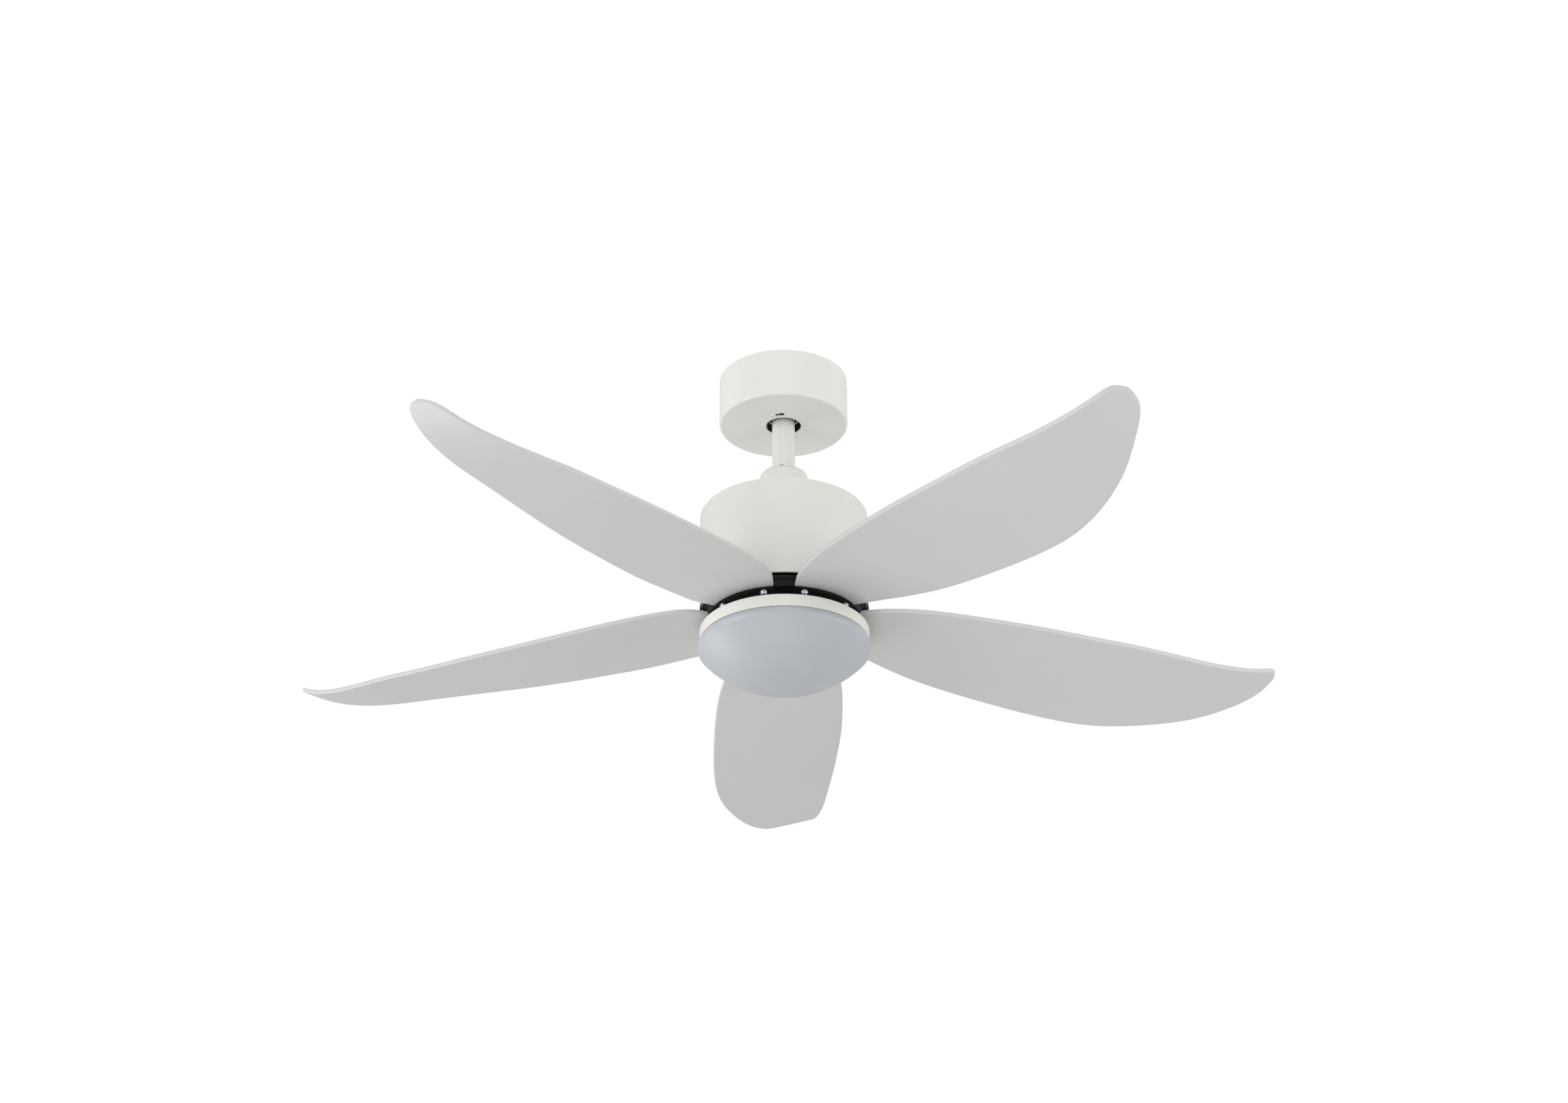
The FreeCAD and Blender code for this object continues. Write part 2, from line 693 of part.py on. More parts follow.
def blade_holder():
    """Black moulded clamp: a sector level with the blade's root and a tongue over it."""
    body = sector(root_radius - 0.7, holder_inner_radius, holder_half_angle, holder_seat, tongue_bottom)
    tongue = sector(tongue_radius, holder_inner_radius, tongue_half_angle, tongue_bottom, rotor_disc_bottom)
    wings = sector(root_radius - 0.7, holder_inner_radius, holder_half_angle, tongue_bottom, rotor_disc_bottom)
    ribs = [sector(r + 0.7, r - 0.7, holder_half_angle - 1.0, holder_seat - 0.9, holder_seat + 0.1)
            for r in (70.0, 76.0)]
    body = fuse([body, tongue, wings] + ribs)
    holes = [disc_at(2.1, -330, -300, holder_screw_radius, s * holder_screw_offset) for s in (-1, 1)]
    holes += [disc(1.9, -330, -300, x, y) for x, y in blade_screw_places]
    return cut_all(body, holes)


def holder_washers():
    """A spring washer, with a wider flat washer below it, on each screw of a blade holder."""
    middle = holder_seat - spring_washer
    low = middle - flat_washer
    stacks = []
    for angle in holder_screw_angles:
        spring = ring_at(3.3, 2.0, middle, holder_seat, holder_screw_radius, angle)
        flat = ring_at(4.7, 2.0, low, middle, holder_screw_radius, angle)
        stacks.append(spring.fuse(flat))
    return Part.makeCompound(stacks)


def holder_screws():
    seat = holder_seat - spring_washer - flat_washer
    return screws_at(holder_screw_radius, holder_screw_angles, seat, 14.0, 1.85, 4.0, 2.9)


def blade_screws():
    """Flush screws from above through each tongue into the blade's root."""
    solids = []
    for angle in blade_angles:
        for x, y in blade_screw_places:
            solids.append(turned(disc(1.85, blade_underside + 2.2, rotor_disc_bottom, x, y), angle))
    return Part.makeCompound(solids)


# ---- write every piece ------------------------------------------------------
os.makedirs("parts", exist_ok=True)
for piece in (
    hanger_bracket, canopy, canopy_screws, terminal_block,
    seat_liner,
    hanger_ball, ball_pin, downrod, coupling, coupling_pin, pin_clip, set_screws, coupling_cover,
    motor_housing, housing_screws, motor_shaft, stator_sleeve, stator_core, stator_windings,
    motor_driver_board, board_spacers, board_screws,
    light_spacer, light_pan, shaft_nut, led_driver, led_board, leds, led_board_posts, led_board_screws,
    lens,
    bearing_balls, rotor_lower_cover, rotor_upper_cover, rotor_magnets, rotor_screws,
    holder_washers, holder_screws, blade_screws,
):
    write(piece.__name__, piece())
for name, level in (("lower", lower_bearing_level), ("upper", upper_bearing_level)):
    write(name + "_bearing_inner", bearing_inner(level))
    write(name + "_bearing_outer", bearing_outer(level))
one_blade = blade()
one_holder = blade_holder()
for number, angle in enumerate(blade_angles, start=1):
    write("blade_%d" % number, turned(one_blade, angle))
    write("blade_holder_%d" % number, turned(one_holder, angle))
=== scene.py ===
"""A white ceiling fan with five blades and an opal light, hung from a ball on a short rod.

Metres, +Z up; the ceiling is the plane z = 0 and the fan hangs below it.
"""

import json
import math

import bmesh
import bpy
import numpy as np
from mathutils import Matrix, Vector


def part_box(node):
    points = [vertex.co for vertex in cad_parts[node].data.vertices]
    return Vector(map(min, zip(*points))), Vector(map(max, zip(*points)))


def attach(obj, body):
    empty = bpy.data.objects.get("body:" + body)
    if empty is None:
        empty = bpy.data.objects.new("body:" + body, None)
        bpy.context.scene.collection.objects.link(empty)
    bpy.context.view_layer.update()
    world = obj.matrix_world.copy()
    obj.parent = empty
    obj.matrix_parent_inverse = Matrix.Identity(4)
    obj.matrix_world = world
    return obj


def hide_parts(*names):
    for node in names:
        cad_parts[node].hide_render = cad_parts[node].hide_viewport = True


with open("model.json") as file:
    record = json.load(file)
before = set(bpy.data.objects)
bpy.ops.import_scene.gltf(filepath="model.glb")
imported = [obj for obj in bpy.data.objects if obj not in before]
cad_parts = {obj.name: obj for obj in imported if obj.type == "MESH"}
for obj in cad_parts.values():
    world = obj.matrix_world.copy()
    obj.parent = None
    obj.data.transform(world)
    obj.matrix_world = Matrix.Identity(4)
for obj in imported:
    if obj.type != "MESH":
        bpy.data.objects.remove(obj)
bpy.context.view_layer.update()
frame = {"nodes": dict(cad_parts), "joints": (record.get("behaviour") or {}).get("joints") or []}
scene = bpy.context.scene


# ---- camera -----------------------------------------------------------------
# It stands below the fan and in front of it, and looks up at the blades' undersides.
# Its lens is fairly long, so the far blades stay nearly as large as the near ones.
camera_place = Vector((0.0, -3.2217, -1.9167))
camera_pitch = 0.48312
camera_roll = -0.0045
camera = bpy.data.objects.new("camera", bpy.data.cameras.new("camera"))
scene.collection.objects.link(camera)
camera.data.sensor_width = 36.0
camera.data.lens = 72.3
tip_up = Matrix.Rotation(math.pi / 2 + camera_pitch, 4, "X")
camera_turn = tip_up @ Matrix.Rotation(camera_roll, 4, "Z")
camera.matrix_world = Matrix.Translation(camera_place) @ camera_turn
scene.camera = camera


# ---- studio -----------------------------------------------------------------
# A pale floor far below, an even white surround, and large soft lamps: the main one on
# the left in front, weaker ones on the right and below, and one that lifts the top.
white_room = bpy.data.worlds.new("white_room")
scene.world = white_room
white_room.use_nodes = True
room_nodes, room_links = white_room.node_tree.nodes, white_room.node_tree.links
room_nodes.clear()
room_out = room_nodes.new("ShaderNodeOutputWorld")
room_mix = room_nodes.new("ShaderNodeMixShader")
room_ray = room_nodes.new("ShaderNodeLightPath")
room_light = room_nodes.new("ShaderNodeBackground")
room_light.inputs["Color"].default_value = (0.975, 0.97, 0.975, 1)
room_light.inputs["Strength"].default_value = 0.63
room_seen = room_nodes.new("ShaderNodeBackground")
room_seen.inputs["Color"].default_value = (1, 1, 1, 1)
room_seen.inputs["Strength"].default_value = 1.02
room_links.new(room_ray.outputs["Is Camera Ray"], room_mix.inputs["Fac"])
room_links.new(room_light.outputs[0], room_mix.inputs[1])
room_links.new(room_seen.outputs[0], room_mix.inputs[2])
room_links.new(room_mix.outputs[0], room_out.inputs["Surface"])
scene.view_settings.view_transform = "Standard"


def soft_lamp(name, place, target, size, watts, colour):
    """Square area lamp at place, turned to face target."""
    data = bpy.data.lights.new(name, "AREA")
    data.size = size
    data.energy = watts
    data.color = colour
    lamp = bpy.data.objects.new(name, data)
    scene.collection.objects.link(lamp)
    lamp.location = place
    lamp.rotation_mode = "QUATERNION"
    lamp.rotation_quaternion = (Vector(target) - Vector(place)).to_track_quat("-Z", "Y")


fan_middle = (0.0, 0.0, -0.25)
soft_lamp("left_lamp", (-3.6, -2.2, -0.7), fan_middle, 2.0, 65, (1.0, 0.99, 0.97))
soft_lamp("low_left_lamp", (-3.2, 1.8, -2.6), fan_middle, 2.0, 30, (1.0, 0.99, 0.97))
soft_lamp("right_lamp", (3.7, -2.0, -0.7), fan_middle, 2.0, 55, (1.0, 0.99, 0.97))
soft_lamp("under_lamp", (-0.8, -1.2, -4.2), fan_middle, 2.6, 14, (1.0, 0.99, 0.98))
soft_lamp("top_lamp", (0.3, 0.8, 3.4), fan_middle, 2.6, 38, (1.0, 1.0, 1.0))

floor_level, floor_half = -5.6, 9.0
floor_corners = [(x * floor_half, y * floor_half, floor_level)
                 for x, y in ((-1, -1), (1, -1), (1, 1), (-1, 1))]
floor_data = bpy.data.meshes.new("floor")
floor_data.from_pydata(floor_corners, [], [(0, 1, 2, 3)])
floor = bpy.data.objects.new("floor", floor_data)
scene.collection.objects.link(floor)
floor_grey = bpy.data.materials.new("floor_grey")
floor_grey.use_nodes = True
floor_shader = floor_grey.node_tree.nodes["Principled BSDF"]
floor_shader.inputs["Base Color"].default_value = (0.78, 0.78, 0.77, 1)
floor_shader.inputs["Roughness"].default_value = 0.9
floor_data.materials.append(floor_grey)


# ---- hanger -----------------------------------------------------------------
# The ceiling plate with its legs and the open ring that seats the ball are pressed from
# steel sheet and painted black. The small plated parts use the zinc finish made here.
class Wire:
    """A node's output socket; arithmetic on it adds Math nodes to its tree."""

    def __init__(self, socket):
        self.socket = socket

    def math(self, operation, first, second):
        node = self.socket.id_data.nodes.new("ShaderNodeMath")
        node.operation = operation
        for slot, value in zip(node.inputs, (first, second)):
            if isinstance(value, Wire):
                self.socket.id_data.links.new(value.socket, slot)
            else:
                slot.default_value = value
        return Wire(node.outputs[0])

    def __add__(self, other):
        return self.math("ADD", self, other)

    def __sub__(self, other):
        return self.math("SUBTRACT", self, other)

    def __rsub__(self, other):
        return self.math("SUBTRACT", other, self)

    def __mul__(self, other):
        return self.math("MULTIPLY", self, other)

    __radd__ = __add__
    __rmul__ = __mul__


class Finish:
    """A material in the making: add() makes any node, and surface() closes it."""

    def __init__(self, name):
        self.material = bpy.data.materials.new(name)
        self.material.use_nodes = True
        self.tree = self.material.node_tree
        self.tree.nodes.clear()
        self.place = self.add("ShaderNodeTexCoord", output="Object")

    def add(self, kind, settings=None, inputs=None, output=0):
        """Adds a node, makes its settings, then sets or links its sockets; gives one output."""
        node = self.tree.nodes.new(kind)
        for key, value in (settings or {}).items():
            if key == "ramp":
                ramp = node.color_ramp
                for _ in range(len(value) - 2):
                    ramp.elements.new(0.5)
                for element, (position, colour) in zip(ramp.elements, value):
                    element.position = position
                    element.color = colour
            else:
                setattr(node, key, value)
        for key, value in (inputs or {}).items():
            if isinstance(value, Wire):
                self.tree.links.new(value.socket, node.inputs[key])
            else:
                node.inputs[key].default_value = value
        return Wire(node.outputs[output])

    def noise(self, per_metre, detail=3.0):
        """Smooth noise on the piece's own coordinates, with so many swells to a metre."""
        sockets = {"Vector": self.place, "Scale": per_metre, "Detail": detail, "Roughness": 0.5}
        return self.add("ShaderNodeTexNoise", None, sockets, "Fac")

    def spread(self, wire, low, high):
        """Maps the usual span of a noise, 0.3 to 0.7, onto low to high."""
        ends = {"Value": wire, "From Min": 0.3, "From Max": 0.7, "To Min": low, "To Max": high}
        return self.add("ShaderNodeMapRange", None, ends)

    def blend(self, share, first, second):
        """Colour between two colours, each a wire or red, green and blue."""
        colours = [c if isinstance(c, Wire) else (*c, 1.0) for c in (first, second)]
        sides = {"Factor": share, 6: colours[0], 7: colours[1]}
        return self.add("ShaderNodeMix", {"data_type": "RGBA"}, sides, 2)

    def bump(self, height, depth):
        """Normal from a height field whose full range is depth metres."""
        sockets = {"Height": height, "Distance": depth, "Strength": 1.0}
        return self.add("ShaderNodeBump", None, sockets)

    def surface(self, **sockets):
        """Closes the material with a Principled shader; an underscore stands for a space."""
        shader = self.add("ShaderNodeBsdfPrincipled", None,
                          {key.replace("_", " "): value for key, value in sockets.items()})
        out = self.tree.nodes.new("ShaderNodeOutputMaterial")
        self.tree.links.new(shader.socket, out.inputs["Surface"])
        return self.material


def coat(material, *nodes):
    """Gives the named modelled pieces a material, in every slot that they have."""
    for name in nodes:
        piece = frame["nodes"][name]
        if not piece.material_slots:
            piece.data.materials.append(material)
        for held in piece.material_slots:
            held.material = material


def zinc_finish():
    """Spangled plating: cells of slightly different grey, with fine rolling marks."""
    f = Finish("zinc_plate")
    cells = f.add("ShaderNodeTexVoronoi", {"feature": "F1"},
                  {"Vector": f.place, "Scale": 260.0}, "Color")
    grey = f.add("ShaderNodeSeparateColor", None, {"Color": cells}, 0)
    colour = f.blend(grey, (0.50, 0.51, 0.53), (0.62, 0.61, 0.57))
    marks = f.noise(900.0, 4.0)
    gloss = f.spread(marks, 0.30, 0.46) + grey * 0.06
    return f.surface(Base_Color=colour, Metallic=1.0, Roughness=gloss,
                     Normal=f.bump(marks, 0.00004))


def black_finish(name, tone, low, high, grain_scale):
    """Black skin, moulded or painted: a fine grain and a soft uneven gloss."""
    f = Finish(name)
    grain = f.noise(grain_scale, 3.0)
    clouds = f.spread(f.noise(35.0, 2.0), 0.0, 1.0)
    colour = f.blend(clouds, tone, tuple(1.5 * t for t in tone))
    return f.surface(Base_Color=colour, Roughness=f.spread(grain, low, high),
                     Specular_IOR_Level=0.3, Normal=f.bump(grain, 0.00005))


zinc = zinc_finish()
coat(black_finish("black_steel", (0.006, 0.006, 0.007), 0.36, 0.50, 500.0), "hanger_bracket")


# ---- terminal block ---------------------------------------------------------
# A moulded nylon block under the ceiling plate, where the house wires meet the fan's.
def board_finish(name, dark, light):
    """Moulded or laminated plastic: two tones clouded together under a fine grain."""
    f = Finish(name)
    colour = f.blend(f.spread(f.noise(60.0), 0.0, 1.0), dark, light)
    grain = f.noise(1800.0, 2.0)
    return f.surface(Base_Color=colour, Roughness=f.spread(grain, 0.38, 0.55),
                     Normal=f.bump(grain, 0.00003))


nylon = board_finish("nylon", (0.62, 0.60, 0.55), (0.70, 0.68, 0.64))
coat(nylon, "terminal_block", "board_spacers", "led_board_posts")


# ---- canopy -----------------------------------------------------------------
# A drawn steel cup that hides the hanger, powder coated warm white. Its floor has the
# rod's hole, two keyholes that turn onto screws, and two small pressed dimples.
def rounded(corners, steps=8):
    """Closed profile through corners (r, z, radius): each corner is an arc of that radius.

    The arc touches both sides at radius * tan(half the turn) from the corner; a zero
    radius leaves the corner sharp, as one point.
    """
    points = np.array([c[:2] for c in corners], float)
    radii = [c[2] if len(c) > 2 else 0.0 for c in corners]
    path = []
    for i, radius in enumerate(radii):
        here = points[i]
        before = points[i - 1] - here
        after = points[(i + 1) % len(points)] - here
        before, after = before / np.linalg.norm(before), after / np.linalg.norm(after)
        half = math.acos(float(np.clip(before @ after, -1, 1))) / 2
        if radius <= 0 or half > math.pi / 2 - 1e-3:
            path.append(here[None])
            continue
        reach = radius / math.tan(half)
        centre = here + (before + after) / np.linalg.norm(before + after) * radius / math.sin(half)
        start, end = here + before * reach - centre, here + after * reach - centre
        share = np.linspace(0, 1, steps)[:, None]
        swing = math.pi - 2 * half
        arc = (start * np.sin((1 - share) * swing) + end * np.sin(share * swing)) / math.sin(swing)
        path.append(centre + arc)
    return np.vstack(path)


def close_shape(name, points, faces):
    """Mesh object from points and quads, doubles merged, with its faces turned outwards.

    The sign of the enclosed volume, a sum of det(a, b, c) over the faces, says which way
    they look.
    """
    mesh = bpy.data.meshes.new(name)
    corner = points[faces]
    volume = np.einsum("ij,ij->", corner[:, 0], np.cross(corner[:, 1], corner[:, 2]))
    volume += np.einsum("ij,ij->", corner[:, 0], np.cross(corner[:, 2], corner[:, 3]))
    if volume < 0:
        faces = faces[:, ::-1]
    mesh.vertices.add(len(points))
    mesh.vertices.foreach_set("co", points.astype(np.float32).ravel())
    mesh.loops.add(faces.size)
    mesh.loops.foreach_set("vertex_index", faces.astype(np.int32).ravel())
    mesh.polygons.add(len(faces))
    mesh.polygons.foreach_set("loop_start", np.arange(0, faces.size, 4, dtype=np.int32))
    mesh.update(calc_edges=True)
    piece = bpy.data.objects.new(name, mesh)
    scene.collection.objects.link(piece)
    merge(piece)
    return piece


def merge(piece, distance=1e-7):
    """Merges doubled points, which also drops the flat faces at a pole."""
    shape = bmesh.new()
    shape.from_mesh(piece.data)
    bmesh.ops.remove_doubles(shape, verts=shape.verts, dist=distance)
    bmesh.ops.dissolve_degenerate(shape, edges=shape.edges, dist=distance)
    shape.to_mesh(piece.data)
    shape.free()


def smooth(piece, angle=32.0):
    """Smooth shading, with edges sharper than the angle left crisp."""
    piece.data.shade_smooth()
    piece.data.set_sharp_from_angle(angle=math.radians(angle))


def quads(rows, columns, wrap_rows=False, wrap_columns=False):
    """Corner indices of the cells of a grid, row by row; a wrapped side joins last to first."""
    r = np.arange(rows if wrap_rows else rows - 1)
    c = np.arange(columns if wrap_columns else columns - 1)
    r, c = np.meshgrid(r, c, indexing="ij")
    r, c = r.ravel(), c.ravel()
    r2, c2 = (r + 1) % rows, (c + 1) % columns
    return np.stack([r * columns + c, r * columns + c2, r2 * columns + c2, r2 * columns + c], 1)


def turn(name, profile, segments=160):
    """Solid of revolution: the closed profile (r, z) carried round Z, x = r cos a, y = r sin a."""
    a = np.linspace(0, 2 * math.pi, segments, endpoint=False)[:, None]
    r, z = profile[None, :, 0], profile[None, :, 1]
    points = np.stack([r * np.cos(a), r * np.sin(a), z + 0 * a], -1).reshape(-1, 3)
    piece = close_shape(name, points, quads(segments, len(profile), True, True))
    smooth(piece)
    return piece


def cut(piece, cutters):
    """Subtracts the cutters, keeps the result as the piece's own mesh, drops the cutters."""
    for cutter in cutters:
        step = piece.modifiers.new("cut", "BOOLEAN")
        step.operation = "DIFFERENCE"
        step.solver = "EXACT"
        step.object = cutter
    shown = piece.evaluated_get(bpy.context.evaluated_depsgraph_get())
    result = bpy.data.meshes.new_from_object(shown)
    piece.modifiers.clear()
    piece.data = result
    for cutter in cutters:
        bpy.data.objects.remove(cutter)
    smooth(piece)


def put(piece, body, material, slot, *nodes):
    """Coats a finished piece, rides it on its body and lets it stand for its modelled nodes."""
    piece.data.materials.clear()
    piece.data.materials.append(material)
    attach(piece, body)
    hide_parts(*nodes)


def sector_bar(name, inner, outer, start, end, low, high, steps=24):
    """Bar that follows an arc about Z from start to end, in degrees."""
    a = np.radians(np.linspace(start, end, steps))[:, None]
    r = np.array([inner, outer, outer, inner])[None]
    z = np.array([low, low, high, high])[None]
    points = np.stack([r * np.cos(a), r * np.sin(a), z + 0 * a], -1).reshape(-1, 3)
    faces = quads(steps, 4, False, True)
    ends = np.array([[0, 1, 2, 3], [4 * steps - 1, 4 * steps - 2, 4 * steps - 3, 4 * steps - 4]])
    return close_shape(name, points, np.vstack([faces, ends[:, ::-1]]))


def plug(name, radius, low, high, x, y, segments=32):
    """Upright round bar, for cutting holes."""
    a = np.linspace(0, 2 * math.pi, segments, endpoint=False)[:, None]
    r = np.array([0.0, radius, radius, 0.0])[None]
    z = np.array([low, low, high, high])[None]
    points = np.stack([x + r * np.cos(a), y + r * np.sin(a), z + 0 * a], -1).reshape(-1, 3)
    return close_shape(name, points, quads(segments, 4, True, False))


def paint_finish(name, warm, pale):
    """Powder coat on steel: soft clouds of tone, a mild orange-peel skin and a satin gloss."""
    f = Finish(name)
    clouds = f.spread(f.noise(9.0, 2.0), 0.0, 1.0)
    specks = f.spread(f.noise(700.0, 2.0), 0.0, 1.0)
    colour = f.blend(clouds * 0.85 + specks * 0.15, warm, pale)
    peel = f.noise(330.0, 1.5)
    return f.surface(Base_Color=colour, Roughness=f.spread(peel, 0.34, 0.44) + clouds * 0.03,
                     Coat_Weight=0.25, Coat_Roughness=0.18, Normal=f.bump(peel, 0.000035))


paint = paint_finish("white_paint", (0.800, 0.790, 0.745), (0.830, 0.822, 0.785))
# The second paint is the same white paint made lighter, as painted light: it brightens the canopy,
# its dimples and the pan's rim, which the lamps leave darker.
white_paint_painted_light = paint_finish("white_paint_painted_light", (0.865, 0.855, 0.810), (0.890, 0.882, 0.845))
steel = 0.0012
canopy_radius = 0.0755
canopy_floor = -0.060
canopy_hole = 0.0205
keyhole_circle = 0.028
keyhole_turn = -114.0
keyhole_half = 0.0022
dimple_circle = 0.030
dimple_rise = 0.0008

canopy = turn("canopy_cup", rounded([
    (canopy_hole, canopy_floor, 0.0004), (canopy_radius, canopy_floor, 0.0028),
    (canopy_radius, 0.0, 0.0004), (canopy_radius - steel, 0.0, 0.0004),
    (canopy_radius - steel, canopy_floor + steel, 0.0016),
    (canopy_hole, canopy_floor + steel, 0.0004),
], 12), 224)
keyholes = []
for side in (0.0, 180.0):
    narrow, wide = keyhole_turn + side, keyhole_turn + side + 20.0
    low, high = canopy_floor - 0.002, canopy_floor + 0.004
    keyholes.append(sector_bar("slot", keyhole_circle - keyhole_half, keyhole_circle + keyhole_half,
                               narrow, wide, low, high))
    for angle, radius in ((narrow, 0.00221), (wide, 0.0035)):
        a = math.radians(angle)
        keyholes.append(plug("hole", radius, low, high,
                             keyhole_circle * math.cos(a), keyhole_circle * math.sin(a)))
cut(canopy, keyholes)
# The canopy is coated in the lighter copy of the white paint: painted light.
put(canopy, "ceiling", white_paint_painted_light, "white_paint", "canopy")


def dimple(name, radius, rise, angle):
    """Shallow pressed bump: height falls as the square of the distance from its middle."""
    a = np.linspace(0, 2 * math.pi, 32, endpoint=False)[:, None]
    share = np.array([0.0, 0.25, 0.5, 0.75, 0.92, 1.0, 1.0, 0.0])[None]
    z = canopy_floor - rise * (1 - share ** 2)
    z[0, -2:] = canopy_floor + 0.0003
    x0 = dimple_circle * math.cos(math.radians(angle))
    y0 = dimple_circle * math.sin(math.radians(angle))
    r = radius * share
    points = np.stack([x0 + r * np.cos(a), y0 + r * np.sin(a), z + 0 * a], -1)
    piece = close_shape(name, points.reshape(-1, 3), quads(32, 8, True, False))
    smooth(piece, 60)
    return piece


# The dimples take the lighter copy of the white paint too: painted light.
for index, angle in enumerate((34.0, 214.0), 1):
    bump_piece = dimple("canopy_dimple_%d" % index, 0.0024, dimple_rise, angle)
    put(bump_piece, "ceiling", white_paint_painted_light, "white_paint")


# ---- canopy screws ----------------------------------------------------------
# Two bright pan-head screws that go up through the keyholes into the hanger's ring.
def screw_shape(x, y, seat, radius, height, shank, length):
    """Points and quads of a pan-head screw with a cross recess.

    The head's height over its middle falls as a quarter circle near its rim; the recess
    is a cross of two tapered bars, deepest in the middle, cut down from that height.
    """
    segments, rings, turn_by = 48, 22, 0.3
    a = np.linspace(0, 2 * math.pi, segments, endpoint=False)[:, None]
    share = np.concatenate([np.linspace(0, 0.62, rings - 8), np.linspace(0.7, 1.0, 8)])[None]
    edge = np.clip((share - 0.55) / 0.45, 0, 1)
    top = height * (0.30 + 0.70 * np.sqrt(1 - edge ** 2 * 0.98))
    across, along = share * np.cos(a + turn_by), share * np.sin(a + turn_by)
    arm = 0.13 - 0.10 * share
    cross = np.maximum(np.clip((arm - abs(across)) / 0.05, 0, 1),
                       np.clip((arm - abs(along)) / 0.05, 0, 1))
    reach = np.clip((0.60 - share) / 0.12, 0, 1)
    z = top - cross * reach * height * 0.62
    r = share * radius + 0 * a
    tail_r = np.array([radius, shank, shank, shank * 0.6, 0.0])[None] + 0 * a
    tail_z = np.array([0.0, 0.0, -length + 0.001, -length, -length])[None] + 0 * a
    r, z = np.hstack([r, tail_r]), np.hstack([z, tail_z])
    points = np.stack([x + r * np.cos(a), y + r * np.sin(a), seat - z], -1)
    return points.reshape(-1, 3), quads(segments, r.shape[1], True, False)


def join_shapes(name, shapes):
    """One mesh object from several lists of points and quads."""
    points, faces, start = [], [], 0
    for p, q in shapes:
        points.append(p)
        faces.append(q + start)
        start += len(p)
    return close_shape(name, np.vstack(points), np.vstack(faces))


def circle_places(radius, angles):
    """Places (x, y) on a circle about the axis, at angles in degrees."""
    return [(radius * math.cos(a), radius * math.sin(a)) for a in map(math.radians, angles)]


def plated_finish():
    """Bright nickel plating: near mirror, with fine turning marks round each head."""
    f = Finish("chrome_screw")
    marks = f.noise(2600.0, 2.0)
    tones = f.spread(f.noise(400.0), 0.0, 1.0)
    colour = f.blend(tones, (0.74, 0.77, 0.80), (0.84, 0.86, 0.88))
    return f.surface(Base_Color=colour, Metallic=1.0, Roughness=f.spread(marks, 0.10, 0.22),
                     Normal=f.bump(marks, 0.00001))


plated = plated_finish()
keyhole_screws = join_shapes("canopy_screw_pair", [
    screw_shape(x, y, canopy_floor, 0.0031, 0.0018, 0.00185, 0.010)
    for x, y in circle_places(keyhole_circle, (keyhole_turn, keyhole_turn + 180))])
smooth(keyhole_screws, 40)
put(keyhole_screws, "ceiling", plated, "zinc_plate", "canopy_screws")


# ---- hanger ball and liner --------------------------------------------------
# The ball is moulded in black rubber-like plastic over the top of the rod. A nylon
# liner sits between it and the hanger, and a steel pin goes through ball and rod.
black_plastic = black_finish("black_plastic", (0.010, 0.010, 0.011), 0.34, 0.52, 1500.0)
ball_centre = Vector(frame["joints"][0]["pos_m"])
rod_low, rod_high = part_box("downrod")
rod_radius = 0.01335
ball_radius = 0.0230
ball_foot = ball_centre.z - 0.0188
ball_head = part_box("hanger_ball")[1].z
ball_arc = np.linspace(math.asin((ball_foot - ball_centre.z) / ball_radius),
                       math.asin((ball_head - ball_centre.z) / ball_radius), 40)
ball_profile = np.stack([ball_radius * np.cos(ball_arc),
                         ball_centre.z + ball_radius * np.sin(ball_arc)], 1)
ball_bore = np.array([(rod_radius + 0.0001, ball_head), (rod_radius + 0.0001, ball_foot)])
ball = turn("ball", np.vstack([ball_profile, ball_bore]), 128)
put(ball, "hanging", black_plastic, "black_plastic", "hanger_ball")
coat(nylon, "seat_liner")
coat(zinc, "ball_pin")


# ---- downrod ----------------------------------------------------------------
# A length of 3/4 inch pipe, painted like the housing, drilled through near its foot for
# the coupling's pin and once more just above the coupling's cover.
def across_bar(name, radius, half, level, angle, segments=32):
    """Level round bar through the axis, pointing along the angle, for cutting cross holes."""
    a = np.linspace(0, 2 * math.pi, segments, endpoint=False)[:, None]
    r = np.array([0.0, radius, radius, 0.0])[None]
    along = np.array([-half, -half, half, half])[None] + 0 * a
    c, s = math.cos(math.radians(angle)), math.sin(math.radians(angle))
    side = r * np.cos(a)
    points = np.stack([along * c - side * s, along * s + side * c, level + r * np.sin(a)], -1)
    return close_shape(name, points.reshape(-1, 3), quads(segments, 4, True, False))


rod_bore = 0.0113
rod = turn("rod", rounded([
    (rod_bore, rod_low.z, 0.0003), (rod_radius, rod_low.z, 0.0003),
    (rod_radius, rod_high.z, 0.0003), (rod_bore, rod_high.z, 0.0003)], 4), 96)
cut(rod, [across_bar("hole", radius, 0.05, level, angle)
          for radius, level, angle in ((0.004, -0.1225, 80.0), (0.003, -0.150, 0.0))])
put(rod, "hanging", paint, "white_paint", "downrod")


# ---- coupling and its cover -------------------------------------------------
# The coupling is an iron casting screwed to the motor's shaft. The rod stands in it,
# held by a pin with a spring clip and by two set screws, all hidden by a painted cup.
def cast_finish():
    """Grey iron casting: blotched tone with a coarse sand skin."""
    f = Finish("cast_metal")
    skin = f.noise(600.0, 5.0)
    blotches = f.spread(f.noise(120.0), 0.0, 1.0)
    colour = f.blend(blotches, (0.10, 0.10, 0.105), (0.19, 0.19, 0.20))
    return f.surface(Base_Color=colour, Metallic=0.7, Roughness=f.spread(skin, 0.5, 0.7),
                     Normal=f.bump(skin, 0.00015))


cast = cast_finish()
coat(cast, "coupling")
coat(zinc, "coupling_pin", "pin_clip", "set_screws", "housing_screws", "board_screws")

